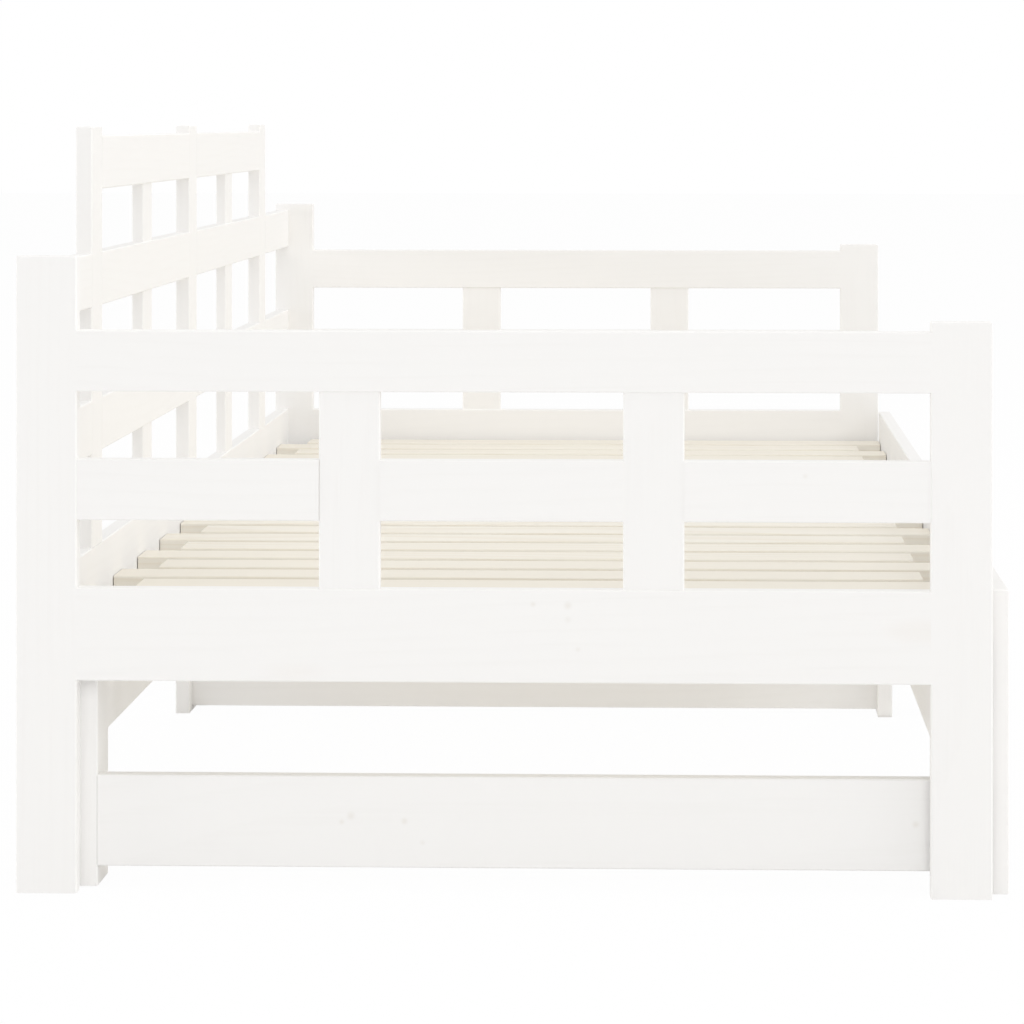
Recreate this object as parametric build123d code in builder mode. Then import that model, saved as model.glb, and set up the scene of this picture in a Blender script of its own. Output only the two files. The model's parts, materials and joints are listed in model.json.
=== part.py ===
"""Extendable day bed: a slatted day bed with a slatted pull-out frame that slides between its slats.

The frame is planed pine board. X runs along the bed, the front faces -Y, +Z is up, and the origin
lies on the floor under the middle of the closed bed. The pull-out frame slides out along -Y.
"""

from build123d import *
import os

os.makedirs("parts", exist_ok=True)

# Driving dimensions, in millimetres
inner_length = 2000  # between the two end frames
inner_half = inner_length / 2
frame_depth = 957  # outer faces of an end frame's posts
board = 18  # thickness of the frame boards
post_width = 60  # posts, legs, uprights and the narrow rails of the end frames
post_half = post_width / 2
panel_rail_height = 58  # crest rails and middle rails of the back panel
rail_height = 91  # bed rails and beams
arris = 1.2  # bevel on long edges and on free ends

slat_count = 25  # odd ones ride on the pull-out frame, even ones are fixed
slat_pitch = inner_length / slat_count
slat_width = 60
slat_thickness = 15
slat_length = 897
slat_radius = 2
slat_end_gap = 1  # slat ends to the boards that they face
deck_top = 253  # upper face of every slat
deck_bottom = deck_top - slat_thickness

front_gap = 0.2  # posts to the pull-out front rail
total_depth = frame_depth + front_gap + board
side_gap = 6  # end frames to the pull-out frame
pull_half = inner_half - side_gap

# Heights
post_proud = 10  # posts stand this far above the rails that end on them
front_post_top = 563
rear_post_top = 626
tall_post_top = 752.5
bottom_rail_top = 300
bottom_rail_base = bottom_rail_top - rail_height
top_rail_top = front_post_top - post_proud
top_rail_base = top_rail_top - post_width
mid_rail_base = (top_rail_base + bottom_rail_top - post_width) / 2
mid_rail_top = mid_rail_base + post_width
upper_rail_top = rear_post_top - post_proud
upper_rail_base = upper_rail_top - panel_rail_height
crest_rail_top = tall_post_top - post_proud
crest_rail_base = crest_rail_top - panel_rail_height
lower_rail_base = (upper_rail_base + bottom_rail_top - panel_rail_height) / 2
lower_rail_top = lower_rail_base + panel_rail_height
front_rail_top = 299
front_rail_base = front_rail_top - rail_height
beam_base = deck_bottom - rail_height
stretcher_base = 22
stretcher_top = 112
cross_rail_base = 6.5
cross_rail_top = cross_rail_base + post_width
leg_lap = 60  # the middle front leg runs up this far behind the front rail
rear_leg_foot = 2  # the pull-out frame's rear legs clear the floor, so that it slides freely

# Joinery
mid_rail_thickness = 16  # set back 1 mm from the posts
upright_thickness = 14  # set back 2 mm from the rails
tenon_thickness = 8
tenon_shoulder = 10  # from a board's edge to its tenon
rail_tenon = 28  # the wide rails of the end frames and of the pull-out frame
post_tenon = 24  # feet of the side posts
upright_tenon = 14  # uprights of the end frames
stub = 8  # everything shorter
lap = board / 2

# Layers, as Y from the back of the bed to its front
panel_inset = 2.5  # back panel, from the backs of the end frames
pull_rear_inset = 58.5  # rear beam of the pull-out frame, from the same faces
beam_inset = 39  # front beam, from the fronts of the end frames
back_y = total_depth / 2
post_front_y = back_y - frame_depth
panel_rear_y = back_y - panel_inset
panel_front_y = panel_rear_y - board
panel_y = (panel_rear_y + panel_front_y) / 2
pull_back_rear_y = back_y - pull_rear_inset
pull_back_front_y = pull_back_rear_y - board
beam_front_y = post_front_y + beam_inset
beam_rear_y = beam_front_y + board
pull_front_rear_y = post_front_y - front_gap
pull_front_front_y = pull_front_rear_y - board
fixed_slat_rear_y = panel_front_y - slat_end_gap
pull_slat_rear_y = pull_front_rear_y + slat_end_gap + slat_length

# Columns: the uprights of an end frame are spaced from its rear post, which leaves the front gap
# a little wider; the posts and uprights of the back panel share its length in equal gaps
upright_pitch = 298.3
upright_count = 2
upright_centres = [back_y - post_half - upright_pitch * (n + 1) for n in range(upright_count)]
panel_columns = 6
panel_pitch = (inner_length + post_width) / panel_columns
short_upright_x = panel_pitch
tall_post_x = panel_pitch * 2

# Cleats under the ends of the slats, with a bevelled lower edge
cleat_depth = 18
cleat_height = 28
cleat_bevel_depth = 7
cleat_bevel_height = 11

# Steel hardware
bolt_radius = 3
bolt_length = 70
bolt_head_radius = 7.5
bolt_head_height = 2
bolt_socket_radius = 2
bolt_socket_depth = 1.5
bracket_leg = 34
bracket_sheet = 2.5
bracket_height = 25
bracket_gap = 2  # to the cleat's end
rear_bracket_z = 224
front_bracket_z = 184

# Sides are named as seen from the front: left is -X, right is +X
sides = {"left": -1, "right": 1}
end_centre = inner_half + lap


def section_plane(grain, low, high):
    """The plane across a board at its lower end, with the section's width, height and run."""
    (x0, y0, z0), (x1, y1, z1) = low, high
    cx, cy, cz = (x0 + x1) / 2, (y0 + y1) / 2, (z0 + z1) / 2
    if grain == "x":
        return Plane((x0, cy, cz), x_dir=(0, 1, 0), z_dir=(1, 0, 0)), y1 - y0, z1 - z0, x1 - x0
    if grain == "y":
        return Plane((cx, y0, cz), x_dir=(1, 0, 0), z_dir=(0, 1, 0)), x1 - x0, z1 - z0, y1 - y0
    return Plane((cx, cy, z0), x_dir=(1, 0, 0), z_dir=(0, 0, 1)), x1 - x0, y1 - y0, z1 - z0


def planed(grain, low, high):
    """Extrude a board with bevelled long edges between two corners, in the part being built."""
    plane, width, height, run = section_plane(grain, low, high)
    with BuildSketch(plane) as section:
        Rectangle(width, height)
        chamfer(section.vertices(), length=arris)
    extrude(section.sketch, amount=run)


def block(low, high, mode=Mode.ADD):
    """A square-edged block between two corners: a tenon, a mortise, a lap or a glued flat."""
    width, depth, height = (b - a for a, b in zip(low, high))
    centre = tuple((a + b) / 2 for a, b in zip(low, high))
    with Locations(centre):
        Box(width, depth, height, mode=mode)


def mortise(low, high):
    """Cut a block-shaped pocket in the part being built."""
    block(low, high, mode=Mode.SUBTRACT)


def ease_top(piece):
    """Bevel the edges round the free upper ends of posts."""
    chamfer(piece.faces().group_by(Axis.Z)[-1].edges(), length=arris)


def save(part, name):
    """Label a finished piece and write it as its own file."""
    part.label = name
    export_step(part, f"parts/{name}.step")


def end_span(sign, thickness=board):
    """Lower and upper X of a board of an end frame, centred in the frame's thickness."""
    centre = sign * end_centre
    return centre - thickness / 2, centre + thickness / 2


def panel_span(thickness=board):
    """Front and rear Y of a board of the back panel, centred in the panel's thickness."""
    return panel_y - thickness / 2, panel_y + thickness / 2


def end_rail_tenons(sign, base, top, mode):
    """The two tenons of a full-width end rail, or the mortises that take them."""
    x0, x1 = end_span(sign, tenon_thickness)
    for shoulder, out in ((back_y - post_width, 1), (post_front_y + post_width, -1)):
        y0, y1 = sorted((shoulder, shoulder + out * rail_tenon))
        block((x0, y0, base + tenon_shoulder), (x1, y1, top - tenon_shoulder), mode)


def panel_rail_tenons(ends, base, top, mode):
    """Stub tenons of back panel rails at the given X shoulders, each with its outward sign."""
    y0, y1 = panel_span(tenon_thickness)
    for shoulder, out in ends:
        x0, x1 = sorted((shoulder, shoulder + out * stub))
        block((x0, y0, base + tenon_shoulder), (x1, y1, top - tenon_shoulder), mode)


def mid_rail_ends():
    """Y of the mid rail's shoulders in an end frame, from the back to the front."""
    edges = [back_y - post_width]
    for centre in upright_centres:
        edges += [centre + post_half, centre - post_half]
    return edges + [post_front_y + post_width]


def mid_rail_tenons(sign, mode):
    """Stub tenons at both ends of the three mid rail lengths."""
    x0, x1 = end_span(sign, tenon_thickness)
    for index, shoulder in enumerate(mid_rail_ends()):
        out = 1 if index % 2 == 0 else -1
        y0, y1 = sorted((shoulder, shoulder + out * stub))
        block((x0, y0, mid_rail_base + tenon_shoulder), (x1, y1, mid_rail_top - tenon_shoulder), mode)


def end_upright_tenons(sign, mode):
    """Tenons of the two uprights into the top rail and the bottom rail."""
    x0, x1 = end_span(sign, tenon_thickness)
    half = post_half - tenon_shoulder
    for centre in upright_centres:
        for base, top in (
            (bottom_rail_top - upright_tenon, bottom_rail_top),
            (top_rail_base, top_rail_base + upright_tenon),
        ):
            block((x0, centre - half, base), (x1, centre + half, top), mode)


def make_end_post(sign, rear):
    """A post of an end frame, flat where the two glued rails meet it flush."""
    x0, x1 = end_span(sign)
    y0 = back_y - post_width if rear else post_front_y
    y1 = y0 + post_width
    flat_y = (y0, y0 + post_half) if rear else (y0 + post_half, y1)
    with BuildPart() as post:
        planed("z", (x0, y0, 0), (x1, y1, rear_post_top if rear else front_post_top))
        ease_top(post)
        for base, top in ((bottom_rail_base, bottom_rail_top), (top_rail_base, top_rail_top)):
            block((x0, flat_y[0], base), (x1, flat_y[1], top))
            end_rail_tenons(sign, base, top, Mode.SUBTRACT)
        mid_rail_tenons(sign, Mode.SUBTRACT)
        if rear:
            inner = sign * inner_half
            for base, top in (
                (bottom_rail_base, bottom_rail_top),
                (lower_rail_base, lower_rail_top),
                (upper_rail_base, upper_rail_top),
            ):
                panel_rail_tenons([(inner, sign)], base, top, Mode.SUBTRACT)
    return post.part


def make_end_rail(sign, base, top):
    """A full-width rail of an end frame with a tenon at each end."""
    x0, x1 = end_span(sign)
    with BuildPart() as rail:
        planed("y", (x0, post_front_y + post_width, base), (x1, back_y - post_width, top))
        end_rail_tenons(sign, base, top, Mode.ADD)
        end_upright_tenons(sign, Mode.SUBTRACT)
    return rail.part


def make_end_mid_rails(sign):
    """The three lengths of mid rail between posts and uprights."""
    x0, x1 = end_span(sign, mid_rail_thickness)
    edges = mid_rail_ends()
    with BuildPart() as rails:
        for rear_y, front_y in zip(edges[0::2], edges[1::2]):
            planed("y", (x0, front_y, mid_rail_base), (x1, rear_y, mid_rail_top))
        mid_rail_tenons(sign, Mode.ADD)
    return rails.part


def make_end_uprights(sign):
    """The two thinner uprights of an end frame, flat where the glued mid rails meet them."""
    x0, x1 = end_span(sign, upright_thickness)
    rear_centre, front_centre = upright_centres
    with BuildPart() as uprights:
        for centre in upright_centres:
            low = (x0, centre - post_half, bottom_rail_top)
            planed("z", low, (x1, centre + post_half, top_rail_base))
        for flat_front, flat_rear in (
            (rear_centre - post_half, rear_centre),
            (front_centre - post_half, front_centre + post_half),
        ):
            block((x0, flat_front, mid_rail_base), (x1, flat_rear, mid_rail_top))
        end_upright_tenons(sign, Mode.ADD)
        mid_rail_tenons(sign, Mode.SUBTRACT)
    return uprights.part


for side, sign in sides.items():
    save(make_end_post(sign, rear=True), f"{side}_rear_post")
    save(make_end_post(sign, rear=False), f"{side}_front_post")
    save(make_end_rail(sign, top_rail_base, top_rail_top), f"{side}_top_rail")
    save(make_end_rail(sign, bottom_rail_base, bottom_rail_top), f"{side}_bottom_rail")
    save(make_end_mid_rails(sign), f"{side}_mid_rails")
    save(make_end_uprights(sign), f"{side}_uprights")


# Back panel
outer_shoulders = [(-inner_half, -1), (-tall_post_x - post_half, 1)]
inner_shoulders = [(-tall_post_x + post_half, -1), (-post_half, 1)]


def mirrored(shoulders):
    """The same shoulders on both halves of the bed."""
    return shoulders + [(-x, -out) for x, out in shoulders]


crest_shoulders = mirrored(inner_shoulders)
row_shoulders = mirrored(outer_shoulders + inner_shoulders)
bed_rail_shoulders = mirrored([(-inner_half, -1), (-post_half, 1)])
short_upright_spans = [
    (bottom_rail_top, lower_rail_base),
    (lower_rail_top, upper_rail_base),
    (upper_rail_top, crest_rail_base),
]


def panel_row(shoulders, base, top):
    """The lengths of one row of back panel rails, each with its stub tenons."""
    y0, y1 = panel_span()
    edges = sorted(x for x, _ in shoulders)
    for start, stop in zip(edges[0::2], edges[1::2]):
        planed("x", (start, y0, base), (stop, y1, top))
    panel_rail_tenons(shoulders, base, top, Mode.ADD)


def short_upright_tenons(mode):
    """Stub tenons at both ends of each short upright."""
    y0, y1 = panel_span(tenon_thickness)
    half = post_half - tenon_shoulder
    for x in (-short_upright_x, short_upright_x):
        for base, top in short_upright_spans:
            for low, high in ((base - stub, base), (top, top + stub)):
                block((x - half, y0, low), (x + half, y1, high), mode)


def side_post_feet(mode):
    """Tenons of the two side posts into the bed rail."""
    y0, y1 = panel_span(tenon_thickness)
    half = post_half - tenon_shoulder
    for x in (-tall_post_x, tall_post_x):
        low = (x - half, y0, bottom_rail_top - post_tenon)
        block(low, (x + half, y1, bottom_rail_top), mode)


def post_mortises():
    """Pockets for every row of rails that ends on a tall post."""
    panel_rail_tenons(row_shoulders, lower_rail_base, lower_rail_top, Mode.SUBTRACT)
    panel_rail_tenons(row_shoulders, upper_rail_base, upper_rail_top, Mode.SUBTRACT)
    panel_rail_tenons(crest_shoulders, crest_rail_base, crest_rail_top, Mode.SUBTRACT)


panel_low_y, panel_high_y = panel_span()

with BuildPart() as back_side_posts:
    for x in (-tall_post_x, tall_post_x):
        low = (x - post_half, panel_low_y, bottom_rail_top)
        planed("z", low, (x + post_half, panel_high_y, tall_post_top))
    ease_top(back_side_posts)
    post_mortises()
    side_post_feet(Mode.ADD)
save(back_side_posts.part, "back_side_posts")

with BuildPart() as back_crest_rails:
    panel_row(crest_shoulders, crest_rail_base, crest_rail_top)
    short_upright_tenons(Mode.SUBTRACT)
save(back_crest_rails.part, "back_crest_rails")

with BuildPart() as back_middle_rails:
    panel_row(row_shoulders, upper_rail_base, upper_rail_top)
    panel_row(row_shoulders, lower_rail_base, lower_rail_top)
    short_upright_tenons(Mode.SUBTRACT)
save(back_middle_rails.part, "back_middle_rails")

with BuildPart() as back_short_uprights:
    upright_low_y, upright_high_y = panel_span(upright_thickness)
    for x in (-short_upright_x, short_upright_x):
        for base, top in short_upright_spans:
            low = (x - post_half, upright_low_y, base)
            planed("z", low, (x + post_half, upright_high_y, top))
    short_upright_tenons(Mode.ADD)
save(back_short_uprights.part, "back_short_uprights")

with BuildPart() as back_bed_rails:
    panel_row(bed_rail_shoulders, bottom_rail_base, bottom_rail_top)
    side_post_feet(Mode.SUBTRACT)
    short_upright_tenons(Mode.SUBTRACT)
save(back_bed_rails.part, "back_bed_rails")


# Cleats: a strip under the ends of the slats
def make_cleat(face_y, out, half_length):
    """A strip screwed to the inner face of a rail at face_y, which looks along out."""
    end = Plane((-out * half_length, face_y, deck_bottom), x_dir=(0, out, 0), z_dir=(out, 0, 0))
    with BuildPart() as cleat:
        with BuildSketch(end):
            with BuildLine():
                Polyline(
                    (0, 0),
                    (cleat_depth, 0),
                    (cleat_depth, cleat_bevel_height - cleat_height),
                    (cleat_depth - cleat_bevel_depth, -cleat_height),
                    (0, -cleat_height),
                    close=True,
                )
            make_face()
        extrude(amount=half_length * 2)
    return cleat.part


back_cleat_half = inner_half - bracket_leg - bracket_gap
save(make_cleat(panel_front_y, -1, back_cleat_half), "back_slat_cleat")
save(make_cleat(pull_front_rear_y, 1, pull_half), "pullout_slat_cleat")


# Bolts: each runs through a leg into the end of the rail between two legs, where a stub tenon
# keeps the rail from turning
def bolt_shapes(places, out, mode=Mode.ADD):
    """Heads and shanks below the faces at the given places, or the bores that take them."""
    for place in places:
        for radius, depth in ((bolt_head_radius, bolt_head_height), (bolt_radius, bolt_length)):
            with BuildSketch(Plane(place, x_dir=(1, 0, 0), z_dir=(0, out, 0))) as section:
                Circle(radius)
            extrude(section.sketch, amount=-depth, mode=mode)


def bolts(places, out):
    """Bolts with a hexagonal socket, their heads flush with the faces at the given places."""
    bolt_shapes(places, out)
    for place in places:
        with BuildSketch(Plane(place, x_dir=(1, 0, 0), z_dir=(0, out, 0))) as socket:
            RegularPolygon(bolt_socket_radius, 6)
        extrude(socket.sketch, amount=-bolt_socket_depth, mode=Mode.SUBTRACT)


def end_stubs(x, front_y, rear_y, base, top, mode):
    """Stub tenons at both ends of a rail that runs along Y, or the mortises that take them."""
    half = tenon_thickness / 2
    for y0, y1 in ((front_y - stub, front_y), (rear_y, rear_y + stub)):
        block((x - half, y0, base + tenon_shoulder), (x + half, y1, top - tenon_shoulder), mode)


cross_bolt_z = cross_rail_base + post_half
cross_front_bolts = [(0, beam_front_y, cross_bolt_z)]
cross_rear_bolts = [(0, panel_rear_y, cross_bolt_z)]
cross_rail_limits = (0, beam_rear_y, panel_front_y, cross_rail_base, cross_rail_top)

with BuildPart() as frame_bolts:
    bolts(cross_front_bolts, -1)
    bolts(cross_rear_bolts, 1)
save(frame_bolts.part, "frame_bolts")

with BuildPart() as back_middle_post:
    planed("z", (-post_half, panel_low_y, 0), (post_half, panel_high_y, tall_post_top))
    ease_top(back_middle_post)
    post_mortises()
    panel_rail_tenons(bed_rail_shoulders, bottom_rail_base, bottom_rail_top, Mode.SUBTRACT)
    end_stubs(*cross_rail_limits, Mode.SUBTRACT)
    bolt_shapes(cross_rear_bolts, 1, Mode.SUBTRACT)
save(back_middle_post.part, "back_middle_post")


# Front beam and its middle leg, halved into each other, and the rail from that leg to the back
lap_y = beam_rear_y - lap

with BuildPart() as front_beam:
    planed("x", (-inner_half, beam_front_y, beam_base), (inner_half, beam_rear_y, deck_bottom))
    mortise((-post_half, beam_front_y, beam_base), (post_half, lap_y, deck_bottom))
save(front_beam.part, "front_beam")

with BuildPart() as front_middle_leg:
    planed("z", (-post_half, beam_front_y, 0), (post_half, beam_rear_y, beam_base))
    block((-post_half, beam_front_y, beam_base), (post_half, lap_y, deck_bottom))
    end_stubs(*cross_rail_limits, Mode.SUBTRACT)
    bolt_shapes(cross_front_bolts, -1, Mode.SUBTRACT)
save(front_middle_leg.part, "front_middle_leg")

with BuildPart() as middle_cross_rail:
    planed("y", (-lap, beam_rear_y, cross_rail_base), (lap, panel_front_y, cross_rail_top))
    end_stubs(*cross_rail_limits, Mode.ADD)
    bolt_shapes(cross_front_bolts, -1, Mode.SUBTRACT)
    bolt_shapes(cross_rear_bolts, 1, Mode.SUBTRACT)
save(middle_cross_rail.part, "middle_cross_rail")


# Corner brackets: folded steel angles between a long board and an end frame
def add_bracket(sign, face_y, z):
    """One angle with a plate on the end frame and a plate on a front face at face_y."""
    middle = Plane((sign * inner_half, face_y, z), x_dir=(-sign, 0, 0), z_dir=(0, 0, sign))
    with BuildSketch(middle) as angle:
        with BuildLine():
            Polyline(
                (0, 0),
                (bracket_leg, 0),
                (bracket_leg, bracket_sheet),
                (bracket_sheet, bracket_sheet),
                (bracket_sheet, bracket_leg),
                (0, bracket_leg),
                close=True,
            )
        make_face()
        fillet(angle.vertices().sort_by_distance((0, 0, 0))[0], radius=bracket_sheet / 2)
    extrude(angle.sketch, amount=bracket_height / 2, both=True)


with BuildPart() as frame_brackets:
    for sign in sides.values():
        add_bracket(sign, panel_front_y, rear_bracket_z)
        add_bracket(sign, beam_front_y, front_bracket_z)
save(frame_brackets.part, "frame_brackets")


# Slats: the upper long edges are round, the lower ones have the common bevel
def make_slat(index, rear_y):
    """One slat, by its place along the bed from the left."""
    centre = (index - (slat_count - 1) / 2) * slat_pitch
    rear_end = Plane((centre, rear_y, deck_bottom), x_dir=(1, 0, 0), z_dir=(0, -1, 0))
    with BuildPart() as slat:
        with BuildSketch(rear_end) as section:
            Rectangle(slat_width, slat_thickness, align=(Align.CENTER, Align.MIN))
            fillet(section.vertices().group_by(Axis.Y)[-1], radius=slat_radius)
            chamfer(section.vertices().group_by(Axis.Y)[0], length=arris)
        extrude(amount=slat_length)
    return slat.part


for index in range(slat_count):
    number = index // 2 + 1
    if index % 2 == 0:
        save(make_slat(index, pull_slat_rear_y), f"pullout_slat_{number:02d}")
    else:
        save(make_slat(index, fixed_slat_rear_y), f"fixed_slat_{number:02d}")


# Pull-out frame
rail_half = pull_half - post_width
front_lap_y = pull_front_rear_y - lap
front_rail_limits = (front_rail_base, front_rail_top, pull_front_front_y, pull_front_rear_y)
rear_beam_limits = (beam_base, deck_bottom, pull_back_front_y, pull_back_rear_y)


def pull_tenons(base, top, low_y, high_y, mode):
    """Tenons of a long pull-out rail into the legs at its two ends."""
    inset = (board - tenon_thickness) / 2
    for sign in sides.values():
        shoulder = sign * rail_half
        x0, x1 = sorted((shoulder, shoulder + sign * rail_tenon))
        low = (x0, low_y + inset, base + tenon_shoulder)
        block(low, (x1, high_y - inset, top - tenon_shoulder), mode)


with BuildPart() as pullout_front_rail:
    low = (-rail_half, pull_front_front_y, front_rail_base)
    planed("x", low, (rail_half, pull_front_rear_y, front_rail_top))
    pull_tenons(*front_rail_limits, Mode.ADD)
    mortise(
        (-post_half, front_lap_y, front_rail_base),
        (post_half, pull_front_rear_y, front_rail_base + leg_lap),
    )
save(pullout_front_rail.part, "pullout_front_rail")

with BuildPart() as pullout_middle_leg:
    high = (post_half, pull_front_rear_y, front_rail_base)
    planed("z", (-post_half, pull_front_front_y, 0), high)
    lap_low = (-post_half, front_lap_y, front_rail_base)
    block(lap_low, (post_half, pull_front_rear_y, front_rail_base + leg_lap))
save(pullout_middle_leg.part, "pullout_middle_leg")

with BuildPart() as pullout_rear_beam:
    low = (-rail_half, pull_back_front_y, beam_base)
    planed("x", low, (rail_half, pull_back_rear_y, deck_bottom))
    pull_tenons(*rear_beam_limits, Mode.ADD)
save(pullout_rear_beam.part, "pullout_rear_beam")


# Stretchers stand on edge between the end legs
def stretcher_bolts(sign, face_y):
    """Place of a stretcher's bolt at the outer face of a leg."""
    return [(sign * (pull_half - lap), face_y, (stretcher_base + stretcher_top) / 2)]


def stretcher_limits(sign):
    """Middle X of a stretcher, its shoulders at the front and rear legs, and its edges."""
    middle = sign * (pull_half - lap)
    return middle, pull_front_rear_y, pull_back_front_y, stretcher_base, stretcher_top


def make_pull_leg(sign, foot, limits, bolt_places, out):
    """An end leg of the pull-out frame from its foot's height, flat where its rail meets it flush."""
    base, top, low_y, high_y = limits
    x0, x1 = sorted((sign * rail_half, sign * pull_half))
    flat_x0, flat_x1 = sorted((sign * rail_half, sign * (rail_half + post_half)))
    with BuildPart() as leg:
        planed("z", (x0, low_y, foot), (x1, high_y, top))
        ease_top(leg)
        block((flat_x0, low_y, base), (flat_x1, high_y, top - arris))
        pull_tenons(*limits, Mode.SUBTRACT)
        end_stubs(*stretcher_limits(sign), Mode.SUBTRACT)
        bolt_shapes(bolt_places, out, Mode.SUBTRACT)
    return leg.part


def make_stretcher(sign, front_bolts, rear_bolts):
    """A stretcher from the rear leg to the front leg."""
    x0, x1 = sorted((sign * (pull_half - board), sign * pull_half))
    with BuildPart() as stretcher:
        low = (x0, pull_front_rear_y, stretcher_base)
        planed("y", low, (x1, pull_back_front_y, stretcher_top))
        end_stubs(*stretcher_limits(sign), Mode.ADD)
        bolt_shapes(front_bolts, -1, Mode.SUBTRACT)
        bolt_shapes(rear_bolts, 1, Mode.SUBTRACT)
    return stretcher.part


for side, sign in sides.items():
    front_bolts = stretcher_bolts(sign, pull_front_front_y)
    rear_bolts = stretcher_bolts(sign, pull_back_rear_y)
    front_leg = make_pull_leg(sign, 0, front_rail_limits, front_bolts, -1)
    rear_leg = make_pull_leg(sign, rear_leg_foot, rear_beam_limits, rear_bolts, 1)
    save(front_leg, f"pullout_{side}_front_leg")
    save(rear_leg, f"pullout_{side}_rear_leg")
    save(make_stretcher(sign, front_bolts, rear_bolts), f"pullout_{side}_stretcher")

with BuildPart() as pullout_bolts:
    for sign in sides.values():
        bolts(stretcher_bolts(sign, pull_front_front_y), -1)
        bolts(stretcher_bolts(sign, pull_back_rear_y), 1)
save(pullout_bolts.part, "pullout_bolts")
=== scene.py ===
"""Dresses the extendable day bed and sets the studio round it.

The frame is pine under white matt paint, the slats are bare planed pine, and the fittings are
zinc-plated steel. X runs along the bed, the front faces -Y, +Z is up, and lengths are in metres.
"""

import json
import logging
import math
from dataclasses import dataclass, field
from enum import Enum

import bpy
from mathutils import Matrix, Vector

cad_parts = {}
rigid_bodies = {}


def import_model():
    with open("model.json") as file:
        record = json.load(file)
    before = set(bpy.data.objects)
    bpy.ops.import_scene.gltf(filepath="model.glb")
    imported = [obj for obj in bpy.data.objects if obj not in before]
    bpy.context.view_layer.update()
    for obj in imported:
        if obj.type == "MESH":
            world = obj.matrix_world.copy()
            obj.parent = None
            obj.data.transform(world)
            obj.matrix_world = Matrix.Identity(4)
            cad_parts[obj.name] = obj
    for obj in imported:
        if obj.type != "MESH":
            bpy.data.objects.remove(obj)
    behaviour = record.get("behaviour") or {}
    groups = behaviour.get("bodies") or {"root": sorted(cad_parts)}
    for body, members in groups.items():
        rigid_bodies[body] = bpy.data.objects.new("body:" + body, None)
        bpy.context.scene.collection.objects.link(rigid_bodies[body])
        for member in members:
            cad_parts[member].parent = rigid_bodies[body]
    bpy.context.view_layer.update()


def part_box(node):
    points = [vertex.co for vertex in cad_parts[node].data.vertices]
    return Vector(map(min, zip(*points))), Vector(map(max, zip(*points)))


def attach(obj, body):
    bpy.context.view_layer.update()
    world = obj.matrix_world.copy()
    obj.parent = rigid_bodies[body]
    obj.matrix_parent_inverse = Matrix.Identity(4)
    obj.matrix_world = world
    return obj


log = logging.getLogger("day_bed")

Colour = tuple[float, float, float, float]
Point = tuple[float, float, float]
Span = tuple[float, float]
Value = bpy.types.NodeSocket | float
Tint = bpy.types.NodeSocket | Colour

DAY_BED = "day_bed"
PULL_OUT = "pull_out"
WHITE: Colour = (1.0, 1.0, 1.0, 1.0)
QUARTER_TURN = math.pi / 2

# The Mix node's colour sockets share their names with those of its other types
MIX_FACTOR = 0
MIX_COLOURS = (6, 7)
MIX_RESULT = 2


class Grain(Enum):
    """The way a board's fibres run, with the turn that lays them along X."""

    LENGTHWISE = (0.0, 0.0, 0.0)
    CROSSWISE = (0.0, 0.0, -QUARTER_TURN)
    UPRIGHT = (0.0, QUARTER_TURN, 0.0)


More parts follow.
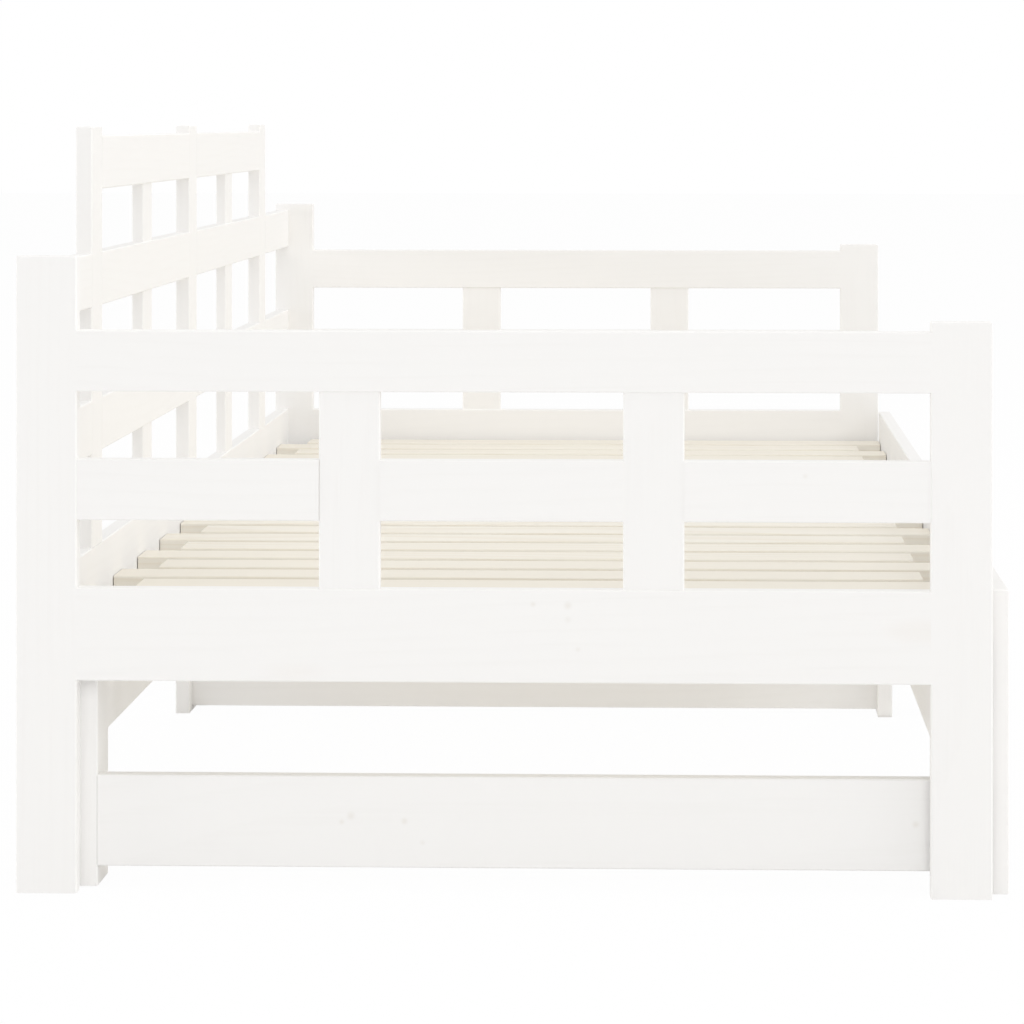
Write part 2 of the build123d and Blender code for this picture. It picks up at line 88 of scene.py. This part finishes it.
class ShaderTree:
    """A thin wrapper that adds nodes to a tree and links them by socket name."""

    def __init__(self, tree: bpy.types.NodeTree) -> None:
        """Keeps the tree that the nodes go into.

        Args:
            tree: The node tree of a material, a world or a group.
        """
        self.tree = tree

    def add(self, kind: str, **values: object) -> bpy.types.Node:
        """Adds one node and sets its properties, or its inputs where no property fits.

        Args:
            kind: The node's type name, such as ShaderNodeMix.
            **values: Properties of the node, or input values by name with _ for a space.

        Returns:
            The new node.
        """
        node = self.tree.nodes.new(kind)
        for name, value in values.items():
            if hasattr(node, name):
                setattr(node, name, value)
            else:
                node.inputs[name.replace("_", " ")].default_value = value
        return node

    def link(self, source: bpy.types.NodeSocket, node: bpy.types.Node, socket: str | int) -> None:
        """Links an output to an input, given by its name or its number."""
        self.tree.links.new(source, node.inputs[socket])

    def maths(self, operation: str, first: Value, second: Value = 0.0) -> bpy.types.NodeSocket:
        """Adds a Math node.

        Args:
            operation: The operation's name.
            first: A socket or a number.
            second: A socket or a number.

        Returns:
            The node's output.
        """
        node = self.add("ShaderNodeMath", operation=operation)
        for index, value in enumerate((first, second)):
            if isinstance(value, bpy.types.NodeSocket):
                self.link(value, node, index)
            else:
                node.inputs[index].default_value = value
        return node.outputs[0]

    def fade(self, value: bpy.types.NodeSocket, low: float, high: float) -> bpy.types.NodeSocket:
        """Maps a value smoothly so that low becomes 0 and high becomes 1.

        Args:
            value: The value to map.
            low: Where the result is 0.
            high: Where the result is 1.

        Returns:
            The mapped value.
        """
        node = self.add("ShaderNodeMapRange", interpolation_type="SMOOTHSTEP")
        node.inputs["From Min"].default_value = low
        node.inputs["From Max"].default_value = high
        self.link(value, node, "Value")
        return node.outputs["Result"]

    def spot(
        self, where: bpy.types.NodeSocket, place: Point, radius: float
    ) -> bpy.types.NodeSocket:
        """Marks a soft spot that goes straight through a board of an end frame.

        Args:
            where: The coordinates to test.
            place: The middle of the spot.
            radius: Where the mark ends on the face.

        Returns:
            1 in the middle of the spot, and 0 outside it.
        """
        depth_scale = 0.1
        moved = tuple(-scale * axis for scale, axis in zip((depth_scale, 1.0, 1.0), place))
        local = self.add("ShaderNodeMapping", Location=moved, Scale=(depth_scale, 1.0, 1.0))
        self.link(where, local, "Vector")
        reach = self.add("ShaderNodeVectorMath", operation="LENGTH")
        self.link(local.outputs[0], reach, 0)
        return self.fade(reach.outputs["Value"], radius, 0.0)

    def blend(
        self, factor: bpy.types.NodeSocket, first: Tint, second: Tint
    ) -> bpy.types.NodeSocket:
        """Mixes two colours.

        Args:
            factor: The share of the second colour.
            first: A colour or a socket.
            second: A colour or a socket.

        Returns:
            The mixed colour.
        """
        node = self.add("ShaderNodeMix", data_type="RGBA")
        self.link(factor, node, MIX_FACTOR)
        for index, value in zip(MIX_COLOURS, (first, second)):
            if isinstance(value, bpy.types.NodeSocket):
                self.link(value, node, index)
            else:
                node.inputs[index].default_value = value
        return node.outputs[MIX_RESULT]


@dataclass(frozen=True)
class PineGrain:
    """The grain of planed pine, with its fibres along X."""

    ring_spacing: float = 0.006
    knot_cells: float = 0.2
    pith: Point = (0.0, 0.31, 0.17)
    stem_stretch: Point = (0.35, 1.0, 1.0)
    wander_scale: float = 2.2
    wander: float = 0.11
    late_wood: Span = (0.35, 0.95)
    ring_end: Span = (1.0, 0.94)
    ring_relief: float = 0.5
    fibre_scale: Point = (9.0, 420.0, 420.0)
    fibre_band: Span = (0.35, 0.68)
    knot_offset: Point = (0.4, 0.2, 0.1)
    knot_scale: Point = (3.2, 9.0, 9.0)
    knot_edge: Span = (0.16, 0.05)

    def group(self) -> bpy.types.NodeTree:
        """Builds the grain as a node group.

        Returns:
            A group with the inputs Vector, Ring Spacing and Knot Share, and the outputs Rings,
            Fibres, Knots and Height.
        """
        group = bpy.data.node_groups.new("Pine grain", "ShaderNodeTree")
        face = group.interface
        face.new_socket("Vector", in_out="INPUT", socket_type="NodeSocketVector")
        for name, value in (("Ring Spacing", self.ring_spacing), ("Knot Share", self.knot_cells)):
            socket = face.new_socket(name, in_out="INPUT", socket_type="NodeSocketFloat")
            socket.default_value = value
        for name in ("Rings", "Fibres", "Knots", "Height"):
            face.new_socket(name, in_out="OUTPUT", socket_type="NodeSocketFloat")
        tree = ShaderTree(group)
        given = tree.add("NodeGroupInput")
        result = tree.add("NodeGroupOutput")

        rings = self.rings(tree, given)
        fibres = self.fibres(tree, given)
        knots = self.knots(tree, given)
        height = tree.maths("ADD", tree.maths("MULTIPLY", rings, self.ring_relief), fibres)
        outputs = {"Rings": rings, "Fibres": fibres, "Knots": knots, "Height": height}
        for name, value in outputs.items():
            tree.link(value, result, name)
        return group

    def rings(self, tree: ShaderTree, given: bpy.types.Node) -> bpy.types.NodeSocket:
        """Lays growth rings round a pith well outside the board, wandering along the stem.

        Args:
            tree: The group's tree.
            given: The group's input node.

        Returns:
            0 in early wood, rising to 1 at the end of each ring.
        """
        stem = tree.add("ShaderNodeMapping", Location=self.pith, Scale=self.stem_stretch)
        tree.link(given.outputs["Vector"], stem, "Vector")
        noise = tree.add("ShaderNodeTexNoise", Scale=self.wander_scale, Detail=2.0, Roughness=0.45)
        tree.link(stem.outputs[0], noise, "Vector")
        split = tree.add("ShaderNodeSeparateXYZ")
        tree.link(stem.outputs[0], split, "Vector")
        squares = (tree.maths("POWER", split.outputs[axis], 2.0) for axis in (1, 2))
        radius = tree.maths("SQRT", tree.maths("ADD", *squares))
        drift = tree.maths("MULTIPLY", noise.outputs["Fac"], self.wander)
        reach = tree.maths("ADD", radius, drift)
        turns = tree.maths("DIVIDE", reach, given.outputs["Ring Spacing"])
        saw = tree.maths("FRACT", turns)
        return tree.maths(
            "MULTIPLY", tree.fade(saw, *self.late_wood), tree.fade(saw, *self.ring_end)
        )

    def fibres(self, tree: ShaderTree, given: bpy.types.Node) -> bpy.types.NodeSocket:
        """Draws short fibres, long and thin.

        Args:
            tree: The group's tree.
            given: The group's input node.

        Returns:
            1 on a fibre, and 0 between the fibres.
        """
        strands = tree.add("ShaderNodeMapping", Scale=self.fibre_scale)
        tree.link(given.outputs["Vector"], strands, "Vector")
        noise = tree.add("ShaderNodeTexNoise", Scale=1.0, Detail=3.0, Roughness=0.6)
        tree.link(strands.outputs[0], noise, "Vector")
        return tree.fade(noise.outputs["Fac"], *self.fibre_band)

    def knots(self, tree: ShaderTree, given: bpy.types.Node) -> bpy.types.NodeSocket:
        """Sets knots in a few cells of a stretched lattice.

        Args:
            tree: The group's tree.
            given: The group's input node.

        Returns:
            1 in the middle of a knot, and 0 outside the knots.
        """
        cells = tree.add("ShaderNodeMapping", Location=self.knot_offset, Scale=self.knot_scale)
        tree.link(given.outputs["Vector"], cells, "Vector")
        lattice = tree.add("ShaderNodeTexVoronoi", feature="F1", Scale=1.0, Randomness=1.0)
        tree.link(cells.outputs[0], lattice, "Vector")
        pick = tree.add("ShaderNodeSeparateColor")
        tree.link(lattice.outputs["Color"], pick, 0)
        chosen = tree.maths("LESS_THAN", pick.outputs[0], given.outputs["Knot Share"])
        body = tree.fade(lattice.outputs["Distance"], *self.knot_edge)
        return tree.maths("MULTIPLY", body, chosen)


@dataclass(frozen=True)
class PinKnot:
    """A small knot that shows through the paint of the left end."""

    place: Point
    radius: float = 0.004
    share: float = 0.45


@dataclass(frozen=True)
class PaintedPine:
    """White matt paint, thin enough for grain and knots to show faintly."""

    pine: bpy.types.NodeTree
    paint: Colour = (0.925, 0.914, 0.898, 1.0)
    thin_paint: Colour = (0.880, 0.865, 0.843, 1.0)
    knot_stain: Colour = (0.800, 0.715, 0.640, 1.0)
    pin_stain: Colour = (0.800, 0.765, 0.715, 1.0)
    grain_share: float = 0.22
    knot_share: float = 0.12
    pin_knots: tuple[PinKnot, ...] = (
        PinKnot((-1.018, -0.021, 0.286)),
        PinKnot((-1.018, -0.055, 0.285), 0.006),
        PinKnot((-1.018, -0.055, 0.271), 0.005, 0.25),
        PinKnot((-1.018, -0.065, 0.242), 0.004, 0.30),
        PinKnot((-1.018, -0.287, 0.412), 0.004, 0.30),
        PinKnot((-0.994, 0.169, 0.067)),
        PinKnot((-0.994, 0.160, 0.073), 0.006),
        PinKnot((-0.994, 0.107, 0.068), 0.005, 0.50),
        PinKnot((-0.994, 0.089, 0.047), 0.004, 0.30),
        PinKnot((-0.994, -0.396, 0.068), 0.005),
    )
    ring_spacing: float = 0.007
    knot_cells: float = 0.22
    roughness: float = 0.60
    fibre_roughness: float = 0.06
    specular: float = 0.10
    relief: float = 0.06
    relief_depth: float = 0.0004

    def material(self, grain: Grain) -> bpy.types.Material:
        """Builds the paint for boards of one direction.

        Args:
            grain: The way the boards' fibres run.

        Returns:
            The material.
        """
        made = bpy.data.materials.new(f"White paint {grain.name.lower()}")
        made.use_nodes = True
        tree = ShaderTree(made.node_tree)
        shader = made.node_tree.nodes["Principled BSDF"]
        where = tree.add("ShaderNodeTexCoord")
        turn = tree.add("ShaderNodeMapping", Rotation=grain.value)
        tree.link(where.outputs["Object"], turn, "Vector")
        wood = tree.add("ShaderNodeGroup", node_tree=self.pine)
        wood.inputs["Ring Spacing"].default_value = self.ring_spacing
        wood.inputs["Knot Share"].default_value = self.knot_cells
        tree.link(turn.outputs[0], wood, "Vector")
        lines = tree.maths("MULTIPLY", wood.outputs["Rings"], wood.outputs["Fibres"])
        shown = tree.maths("MULTIPLY", lines, self.grain_share)
        coat = tree.blend(shown, self.paint, self.thin_paint)
        stain = tree.maths("MULTIPLY", wood.outputs["Knots"], self.knot_share)
        stained = tree.blend(stain, coat, self.knot_stain)
        pins: Value = 0.0
        for knot in self.pin_knots:
            spot = tree.spot(where.outputs["Object"], knot.place, knot.radius)
            pins = tree.maths("MAXIMUM", tree.maths("MULTIPLY", spot, knot.share), pins)
        tree.link(tree.blend(pins, stained, self.pin_stain), shader, "Base Color")
        rougher = tree.maths("MULTIPLY", wood.outputs["Fibres"], self.fibre_roughness)
        tree.link(tree.maths("ADD", rougher, self.roughness), shader, "Roughness")
        shader.inputs["Specular IOR Level"].default_value = self.specular
        bump = tree.add("ShaderNodeBump", Strength=self.relief, Distance=self.relief_depth)
        tree.link(wood.outputs["Height"], bump, "Height")
        tree.link(bump.outputs[0], shader, "Normal")
        return made


@dataclass(frozen=True)
class BarePine:
    """Planed pine without a finish, each slat cut from another part of the stem."""

    pine: bpy.types.NodeTree
    slat_pitch: float = 0.080
    early_wood: Colour = (0.858, 0.821, 0.739, 1.0)
    late_wood: Colour = (0.776, 0.700, 0.574, 1.0)
    heart: Colour = (0.834, 0.782, 0.681, 1.0)
    knot: Colour = (0.430, 0.270, 0.150, 1.0)
    ring_spacing: float = 0.0065
    knot_cells: float = 0.10
    stem_spread: float = 7.0
    heart_share: float = 0.35
    ring_share: float = 0.42
    fibre_share: float = 0.10
    knot_share: float = 0.75
    roughness: float = 0.66
    ring_roughness: float = -0.12
    relief: float = 0.12
    relief_depth: float = 0.0005

    def material(self, grain: Grain) -> bpy.types.Material:
        """Builds the bare wood for boards of one direction.

        Args:
            grain: The way the boards' fibres run.

        Returns:
            The material.
        """
        made = bpy.data.materials.new("Bare pine")
        made.use_nodes = True
        tree = ShaderTree(made.node_tree)
        shader = made.node_tree.nodes["Principled BSDF"]
        where = tree.add("ShaderNodeTexCoord")

        # One random number for each place along the bed
        split = tree.add("ShaderNodeSeparateXYZ")
        tree.link(where.outputs["Object"], split, "Vector")
        place = tree.maths("DIVIDE", split.outputs[0], self.slat_pitch)
        number = tree.maths("ROUND", place)
        chance = tree.add("ShaderNodeTexWhiteNoise", noise_dimensions="1D")
        tree.link(number, chance, "W")
        stem = tree.add("ShaderNodeVectorMath", operation="SCALE")
        stem.inputs["Scale"].default_value = self.stem_spread
        tree.link(chance.outputs["Color"], stem, 0)
        moved = tree.add("ShaderNodeVectorMath", operation="ADD")
        tree.link(where.outputs["Object"], moved, 0)
        tree.link(stem.outputs[0], moved, 1)

        turn = tree.add("ShaderNodeMapping", Rotation=grain.value)
        tree.link(moved.outputs[0], turn, "Vector")
        wood = tree.add("ShaderNodeGroup", node_tree=self.pine)
        wood.inputs["Ring Spacing"].default_value = self.ring_spacing
        wood.inputs["Knot Share"].default_value = self.knot_cells
        tree.link(turn.outputs[0], wood, "Vector")
        tone = tree.maths("MULTIPLY", chance.outputs["Value"], self.heart_share)
        ground = tree.blend(tone, self.early_wood, self.heart)
        rings = tree.maths("MULTIPLY", wood.outputs["Rings"], self.ring_share)
        figure = tree.blend(rings, ground, self.late_wood)
        fibres = tree.maths("MULTIPLY", wood.outputs["Fibres"], self.fibre_share)
        figure = tree.blend(fibres, figure, self.late_wood)
        stain = tree.maths("MULTIPLY", wood.outputs["Knots"], self.knot_share)
        tree.link(tree.blend(stain, figure, self.knot), shader, "Base Color")
        smoother = tree.maths("MULTIPLY", wood.outputs["Rings"], self.ring_roughness)
        tree.link(tree.maths("ADD", smoother, self.roughness), shader, "Roughness")
        bump = tree.add("ShaderNodeBump", Strength=self.relief, Distance=self.relief_depth)
        tree.link(wood.outputs["Height"], bump, "Height")
        tree.link(bump.outputs[0], shader, "Normal")
        return made


@dataclass(frozen=True)
class ZincSteel:
    """Zinc-plated steel, faintly mottled."""

    bright: Colour = (0.660, 0.670, 0.680, 1.0)
    dull: Colour = (0.500, 0.510, 0.530, 1.0)
    spangle_scale: float = 260.0
    spangle_band: Span = (0.40, 0.62)
    roughness: float = 0.34
    spangle_roughness: float = 0.14

    def material(self) -> bpy.types.Material:
        """Builds the plated metal.

        Returns:
            The material.
        """
        made = bpy.data.materials.new("Zinc steel")
        made.use_nodes = True
        tree = ShaderTree(made.node_tree)
        shader = made.node_tree.nodes["Principled BSDF"]
        shader.inputs["Metallic"].default_value = 1.0
        where = tree.add("ShaderNodeTexCoord")
        spangle = tree.add("ShaderNodeTexNoise", Scale=self.spangle_scale, Detail=3.0)
        tree.link(where.outputs["Object"], spangle, "Vector")
        mottle = tree.fade(spangle.outputs["Fac"], *self.spangle_band)
        tree.link(tree.blend(mottle, self.bright, self.dull), shader, "Base Color")
        rough = tree.maths("MULTIPLY", mottle, self.spangle_roughness)
        tree.link(tree.maths("ADD", rough, self.roughness), shader, "Roughness")
        return made


class Finishes:
    """The bed's finishes, each built once."""

    def __init__(self) -> None:
        """Builds the pine grain and every material that uses it."""
        pine = PineGrain().group()
        painted = PaintedPine(pine)
        self.paint = {grain: painted.material(grain) for grain in Grain}
        self.slats = BarePine(pine).material(Grain.CROSSWISE)
        self.steel = ZincSteel().material()

    @staticmethod
    def put(piece: bpy.types.Object, material: bpy.types.Material) -> None:
        """Gives a piece one material and no other."""
        piece.data.materials.clear()
        piece.data.materials.append(material)


def clear_selection() -> None:
    """Deselects every object."""
    bpy.ops.object.select_all(action="DESELECT")


@dataclass
class ScrewHead:
    """A screw head with a cross recess, half sunk into what it holds."""

    radius: float = 0.0042
    height: float = 0.0012
    recess: float = 0.0048
    recess_width: float = 0.0011
    recess_depth: float = 0.0007
    sides: int = 20
    rim_share: float = 0.3
    rim_segments: int = 2

    def build(self) -> bpy.types.Object:
        """Models one head, facing up, with its middle at the origin.

        Returns:
            The head, to be copied.
        """
        clear_selection()
        bpy.ops.mesh.primitive_cylinder_add(
            vertices=self.sides, radius=self.radius, depth=self.height
        )
        head = bpy.context.active_object
        rim = head.modifiers.new("Rim", "BEVEL")
        rim.width = self.height * self.rim_share
        rim.segments = self.rim_segments
        rim.limit_method = "ANGLE"
        bpy.ops.object.modifier_apply(modifier=rim.name)
        for turn in (0.0, QUARTER_TURN):
            clear_selection()
            bpy.ops.mesh.primitive_cube_add(size=1.0, location=(0.0, 0.0, self.height / 2))
            cutter = bpy.context.active_object
            cutter.scale = (self.recess, self.recess_width, self.recess_depth * 2)
            cutter.rotation_euler.z = turn
            bpy.context.view_layer.objects.active = head
            cut = head.modifiers.new("Recess", "BOOLEAN")
            cut.object = cutter
            cut.solver = "EXACT"
            bpy.ops.object.modifier_apply(modifier=cut.name)
            bpy.data.objects.remove(cutter)
        return head

    def place(self, name: str, body: str, spots: list[Matrix], finishes: Finishes) -> None:
        """Copies the head to every spot and joins the copies into one piece.

        Args:
            name: The new piece's name.
            body: The body that the screws ride on.
            spots: Where each head goes.
            finishes: The bed's finishes.
        """
        model = self.build()
        copies = []
        for spot in spots:
            copy = model.copy()
            copy.data = model.data.copy()
            copy.data.transform(spot)
            bpy.context.collection.objects.link(copy)
            copies.append(copy)
        bpy.data.objects.remove(model)
        clear_selection()
        for copy in copies:
            copy.select_set(True)
        bpy.context.view_layer.objects.active = copies[0]
        bpy.ops.object.join()
        screws = bpy.context.active_object
        screws.name = name
        finishes.put(screws, finishes.steel)
        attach(screws, body)
        log.info("%s: %d screws", name, len(spots))


@dataclass
class Assembly:
    """A group of the bed's boards that share a body."""

    finishes: Finishes
    body: str = DAY_BED
    boards: dict[str, Grain] = field(default_factory=dict)

    def paint_boards(self) -> None:
        """Paints every board along its own grain."""
        for name, grain in self.boards.items():
            self.finishes.put(bpy.data.objects[name], self.finishes.paint[grain])
            log.info("%s: painted, grain %s", name, grain.name.lower())


@dataclass
class EndFrame(Assembly):
    """One end of the day bed: two posts, three rails and two uprights."""

    side: str = "left"

    def dress(self) -> None:
        """Paints the posts and uprights along their height and the rails across the bed."""
        for name in ("rear_post", "front_post", "uprights"):
            self.boards[f"{self.side}_{name}"] = Grain.UPRIGHT
        for name in ("top_rail", "bottom_rail", "mid_rails"):
            self.boards[f"{self.side}_{name}"] = Grain.CROSSWISE
        self.paint_boards()


@dataclass
class BackPanel(Assembly):
    """The openwork back with its raised middle."""

    def dress(self) -> None:
        """Paints posts and uprights along their height and the rails along the bed."""
        for name in ("back_middle_post", "back_side_posts", "back_short_uprights"):
            self.boards[name] = Grain.UPRIGHT
        for name in ("back_bed_rails", "back_middle_rails", "back_crest_rails"):
            self.boards[name] = Grain.LENGTHWISE
        self.paint_boards()


@dataclass
class SlatSet:
    """The slats that ride on one body."""

    prefix: str
    count: int

    def dress(self, finishes: Finishes) -> None:
        """Gives every slat its bare wood.

        Args:
            finishes: The bed's finishes.
        """
        for number in range(1, self.count + 1):
            finishes.put(bpy.data.objects[f"{self.prefix}_{number:02d}"], finishes.slats)
        log.info("%s: %d slats", self.prefix, self.count)


@dataclass
class CleatScrews:
    """A row of screws along the face of a slat cleat."""

    node: str
    body: str
    facing: float
    pitch: float = 0.30
    drop: float = 0.009

    def dress(self, finishes: Finishes) -> None:
        """Sets the screws in the cleat's upright face.

        Args:
            finishes: The bed's finishes.
        """
        low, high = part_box(self.node)
        face = high.y if self.facing > 0 else low.y
        count = int((high.x - low.x) / self.pitch)
        turn = Matrix.Rotation(-self.facing * QUARTER_TURN, 4, "X")
        middle = (count - 1) / 2
        spots = [
            Matrix.Translation(((index - middle) * self.pitch, face, high.z - self.drop)) @ turn
            for index in range(count)
        ]
        ScrewHead().place(f"{self.node}_screws", self.body, spots, finishes)


@dataclass
class Underframe(Assembly):
    """What carries the fixed slats: the front beam, its leg, the cross rail and a cleat."""

    slat_count: int = 12

    def dress(self) -> None:
        """Paints the boards and finishes the fixed slats."""
        self.boards["front_beam"] = Grain.LENGTHWISE
        self.boards["back_slat_cleat"] = Grain.LENGTHWISE
        self.boards["front_middle_leg"] = Grain.UPRIGHT
        self.boards["middle_cross_rail"] = Grain.CROSSWISE
        self.paint_boards()
        SlatSet("fixed_slat", self.slat_count).dress(self.finishes)
        CleatScrews("back_slat_cleat", self.body, facing=-1.0).dress(self.finishes)


@dataclass
class PullOutFrame(Assembly):
    """The frame that slides out from between the fixed slats."""

    slat_count: int = 13

    def dress(self) -> None:
        """Paints the boards and finishes the slats that slide."""
        for name in ("front_rail", "rear_beam", "slat_cleat"):
            self.boards[f"pullout_{name}"] = Grain.LENGTHWISE
        self.boards["pullout_middle_leg"] = Grain.UPRIGHT
        for side in ("left", "right"):
            self.boards[f"pullout_{side}_front_leg"] = Grain.UPRIGHT
            self.boards[f"pullout_{side}_rear_leg"] = Grain.UPRIGHT
            self.boards[f"pullout_{side}_stretcher"] = Grain.CROSSWISE
        self.paint_boards()
        SlatSet("pullout_slat", self.slat_count).dress(self.finishes)
        CleatScrews("pullout_slat_cleat", self.body, facing=1.0).dress(self.finishes)


@dataclass(frozen=True)
class Corner:
    """Where a corner bracket sits: the board's face, and the height of its screws."""

    face: float
    height: float


@dataclass
class BracketScrews:
    """One screw in each plate of the corner brackets, seen from inside the frame."""

    body: str
    inner_half: float = 1.0
    sheet: float = 0.0025
    reach: float = 0.021
    corners: tuple[Corner, ...] = (Corner(0.4671, 0.224), Corner(-0.4304, 0.184))

    def dress(self, finishes: Finishes) -> None:
        """Screws both plates of every bracket to the boards behind them.

        Args:
            finishes: The bed's finishes.
        """
        spots = []
        to_front = Matrix.Rotation(QUARTER_TURN, 4, "X")
        for side in (-1.0, 1.0):
            board_x = side * (self.inner_half - self.reach)
            end_x = side * (self.inner_half - self.sheet)
            inward = Matrix.Rotation(-side * QUARTER_TURN, 4, "Y")
            for corner in self.corners:
                on_board = (board_x, corner.face - self.sheet, corner.height)
                on_end = (end_x, corner.face - self.reach, corner.height)
                spots.append(Matrix.Translation(on_board) @ to_front)
                spots.append(Matrix.Translation(on_end) @ inward)
        ScrewHead().place("frame_bracket_screws", self.body, spots, finishes)


@dataclass
class Fittings:
    """The bolts and brackets of both frames."""

    finishes: Finishes
    nodes: tuple[str, ...] = ("frame_bolts", "frame_brackets", "pullout_bolts")

    def dress(self) -> None:
        """Gives the steel its plating."""
        for node in self.nodes:
            self.finishes.put(bpy.data.objects[node], self.finishes.steel)
            log.info("%s: plated", node)
        BracketScrews(DAY_BED).dress(self.finishes)


@dataclass(frozen=True)
class Softbox:
    """A large soft lamp that lights the bed and isn't seen itself."""

    name: str
    place: Point
    width: float
    height: float
    power: float
    aim: Point = (0.0, 0.0, 0.3)

    def hang(self) -> None:
        """Adds the lamp and turns it to its aim."""
        bpy.ops.object.light_add(type="AREA", location=self.place)
        lamp = bpy.context.active_object
        lamp.name = self.name
        lamp.data.shape = "RECTANGLE"
        lamp.data.size = self.width
        lamp.data.size_y = self.height
        lamp.data.energy = self.power
        lamp.visible_camera = False
        toward = Vector(self.aim) - Vector(self.place)
        lamp.rotation_euler = toward.to_track_quat("-Z", "Y").to_euler()


@dataclass
class Studio:
    """A plain white room with soft light, and the camera beside the left end of the bed.

    Turns are in degrees, lamp powers in watts, and the lens and the sensor in millimetres.
    """

    lamps: tuple[Softbox, ...] = (
        Softbox("top_softbox", (0.0, 0.0, 5.0), 6.0, 4.0, 69.0),
        Softbox("front_softbox", (-4.0, -12.0, 8.0), 10.0, 6.0, 391.0),
        Softbox("left_softbox", (-7.0, 0.0, 3.5), 5.0, 3.0, 78.0),
        Softbox("low_front_softbox", (0.0, -18.0, 2.0), 16.0, 4.0, 478.0),
        Softbox("low_rear_softbox", (0.0, 9.0, 1.0), 8.0, 2.0, 240.0),
        Softbox("floor_bounce", (0.0, 0.0, 0.003), 1.9, 0.9, 1.34, aim=(0.0, 0.0, 2.0)),
    )
    floor_half: float = 30.0
    world_strength: float = 0.61
    floor_glow: float = 0.97
    floor_colour: Colour = (0.97, 0.97, 0.97, 1.0)
    eye: Point = (-4.2591, -0.17895, 0.7598)
    heading: float = -88.366
    roll: float = -0.026
    lens: float = 116.638
    sensor_width: float = 36.0
    shift: Span = (-0.08606, -0.38296)

    def build(self) -> None:
        """Makes the floor, the light and the camera."""
        self.make_floor()
        self.make_light()
        self.make_camera()

    @staticmethod
    def seen(tree: ShaderTree) -> bpy.types.NodeSocket:
        """Tells the rays that show the room, straight or mirrored, from those that light it.

        Args:
            tree: The tree that gets the test.

        Returns:
            1 for camera, glossy and transmission rays, and 0 for the others.
        """
        path = tree.add("ShaderNodeLightPath")
        mirrored = tree.maths(
            "MAXIMUM", path.outputs["Is Glossy Ray"], path.outputs["Is Transmission Ray"]
        )
        return tree.maths("MAXIMUM", path.outputs["Is Camera Ray"], mirrored)

    def make_floor(self) -> None:
        """Lays a plain pale floor that shows white and keeps a soft shadow."""
        clear_selection()
        bpy.ops.mesh.primitive_plane_add(size=self.floor_half * 2)
        floor = bpy.context.active_object
        floor.name = "studio_floor"
        made = bpy.data.materials.new("Studio floor")
        made.use_nodes = True
        tree = ShaderTree(made.node_tree)
        tree.tree.nodes.clear()
        out = tree.add("ShaderNodeOutputMaterial")
        matt = tree.add("ShaderNodeBsdfDiffuse", Color=self.floor_colour)
        glow = tree.add("ShaderNodeEmission", Color=WHITE, Strength=1.0)
        mix = tree.add("ShaderNodeMixShader")
        tree.link(tree.maths("MULTIPLY", self.seen(tree), self.floor_glow), mix, "Fac")
        tree.link(matt.outputs[0], mix, 1)
        tree.link(glow.outputs[0], mix, 2)
        tree.link(mix.outputs[0], out, "Surface")
        floor.data.materials.append(made)
        log.info("studio floor laid")

    def make_light(self) -> None:
        """Fills the room with even light and hangs the soft lamps."""
        world = bpy.data.worlds.new("Studio")
        bpy.context.scene.world = world
        world.use_nodes = True
        tree = ShaderTree(world.node_tree)
        fill = world.node_tree.nodes["Background"]
        fill.inputs["Color"].default_value = WHITE
        fill.inputs["Strength"].default_value = self.world_strength
        white = tree.add("ShaderNodeBackground", Color=WHITE, Strength=1.0)
        mix = tree.add("ShaderNodeMixShader")
        tree.link(self.seen(tree), mix, "Fac")
        tree.link(fill.outputs[0], mix, 1)
        tree.link(white.outputs[0], mix, 2)
        tree.link(mix.outputs[0], world.node_tree.nodes["World Output"], "Surface")
        for lamp in self.lamps:
            lamp.hang()
        log.info("studio light set")

    def make_camera(self) -> None:
        """Sets the camera almost level, with its frame shifted down to the bed."""
        bpy.ops.object.camera_add(
            location=self.eye,
            rotation=(QUARTER_TURN, math.radians(self.roll), math.radians(self.heading)),
        )
        camera = bpy.context.active_object
        camera.data.lens = self.lens
        camera.data.sensor_width = self.sensor_width
        camera.data.shift_x, camera.data.shift_y = self.shift
        bpy.context.scene.camera = camera
        bpy.context.scene.view_settings.view_transform = "Standard"
        log.info("camera set")


def main() -> None:
    """Loads the bed, dresses every assembly and sets the studio."""
    logging.basicConfig(level=logging.INFO, format="%(name)s: %(message)s")
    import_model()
    finishes = Finishes()
    for side in ("left", "right"):
        EndFrame(finishes, side=side).dress()
    BackPanel(finishes).dress()
    Underframe(finishes).dress()
    PullOutFrame(finishes, body=PULL_OUT).dress()
    Fittings(finishes).dress()
    Studio().build()


if __name__ == "__main__":
    main()
